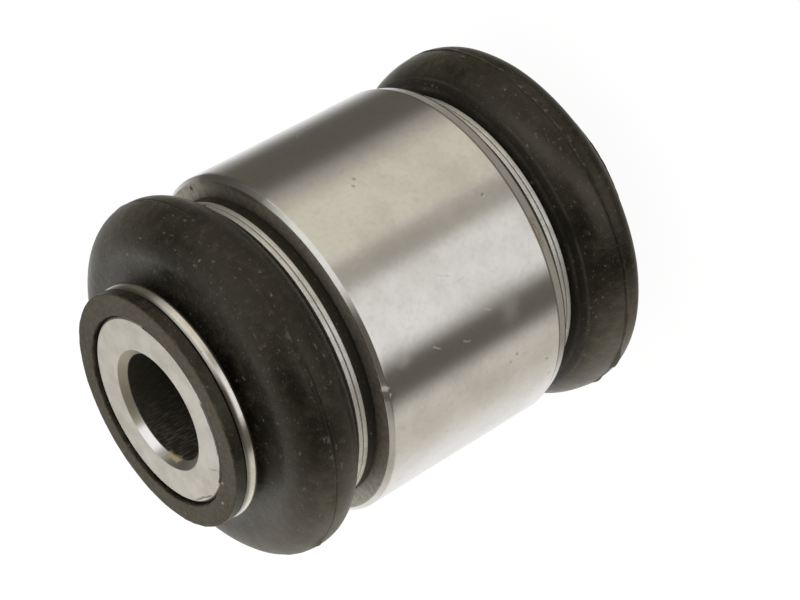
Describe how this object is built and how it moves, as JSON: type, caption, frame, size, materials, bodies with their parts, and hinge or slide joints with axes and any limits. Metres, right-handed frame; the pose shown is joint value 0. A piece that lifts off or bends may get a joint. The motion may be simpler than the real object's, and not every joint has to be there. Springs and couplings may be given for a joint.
{
  "type": "control arm bushing",
  "caption": "Sealed ball-sleeve bushing for a suspension arm: a turned outer sleeve around a tilting ball sleeve with a through bore, closed at each end by a ringed rubber boot.",
  "frame": {"origin": "centre of the ball, halfway between the ends", "axes": "+Z along the bore, towards the end with the small edge chamfer; +X and +Y are free, because the part is round"},
  "size_m": [0.0472, 0.0472, 0.0626],
  "materials": {
    "outer_steel": "fine turned, lightly scuffed",
    "sleeve_steel": "faced end, drilled bore",
    "shell_plastic": "moulded bearing plastic",
    "ring_steel": "turned",
    "boot_rubber": "moulded black rubber, dusty",
    "spring_steel": "drawn spring wire"
  },
  "bodies": {
    "housing": {"outer_sleeve": "outer_steel", "bearing_shell": "shell_plastic", "closing_ring": "ring_steel", "front_clamp_ring": "spring_steel", "rear_clamp_ring": "spring_steel", "front_boot": "boot_rubber", "rear_boot": "boot_rubber"},
    "boot_necks": {"front_neck_ring": "spring_steel", "rear_neck_ring": "spring_steel"},
    "ball_sleeve": {"ball_sleeve": "sleeve_steel"}
  },
  "joints": [
    {"name": "tilt", "type": "hinge", "parent": "housing", "child": "boot_necks", "pos_m": [0, 0, 0], "axis": [1, 0, 0], "range_deg": [-10, 10], "deforming": ["front_boot", "rear_boot"]},
    {"name": "twist", "type": "hinge", "parent": "boot_necks", "child": "ball_sleeve", "pos_m": [0, 0, 0], "axis": [0, 0, 1], "continuous": true}
  ]
}
